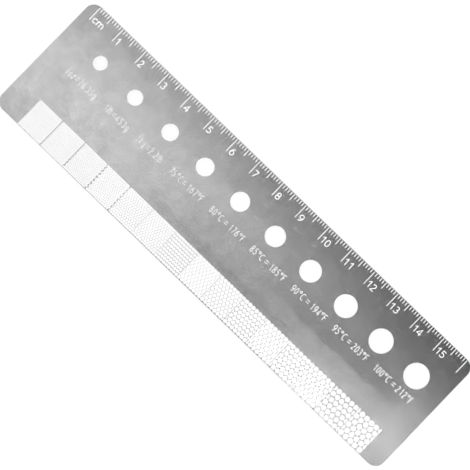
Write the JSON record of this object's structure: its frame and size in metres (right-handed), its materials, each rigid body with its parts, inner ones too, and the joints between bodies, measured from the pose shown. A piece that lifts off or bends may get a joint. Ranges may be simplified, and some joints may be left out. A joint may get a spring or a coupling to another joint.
{
  "type": "coffee grind gauge",
  "caption": "Flat steel gauge plate with rounded corners, a centimetre ruler edge, a row of growing screen holes and a strip of graded grind circles.",
  "frame": {"origin": "middle of the underside, on the surface it lies on", "axes": "+X along the ruler edge from zero upwards, +Y towards the ruler edge, +Z out of the marked face"},
  "size_m": [0.1666, 0.045, 0.001],
  "materials": {
    "steel": "satin"
  },
  "bodies": {
    "root": {"gauge_plate": "steel"}
  },
  "joints": []
}
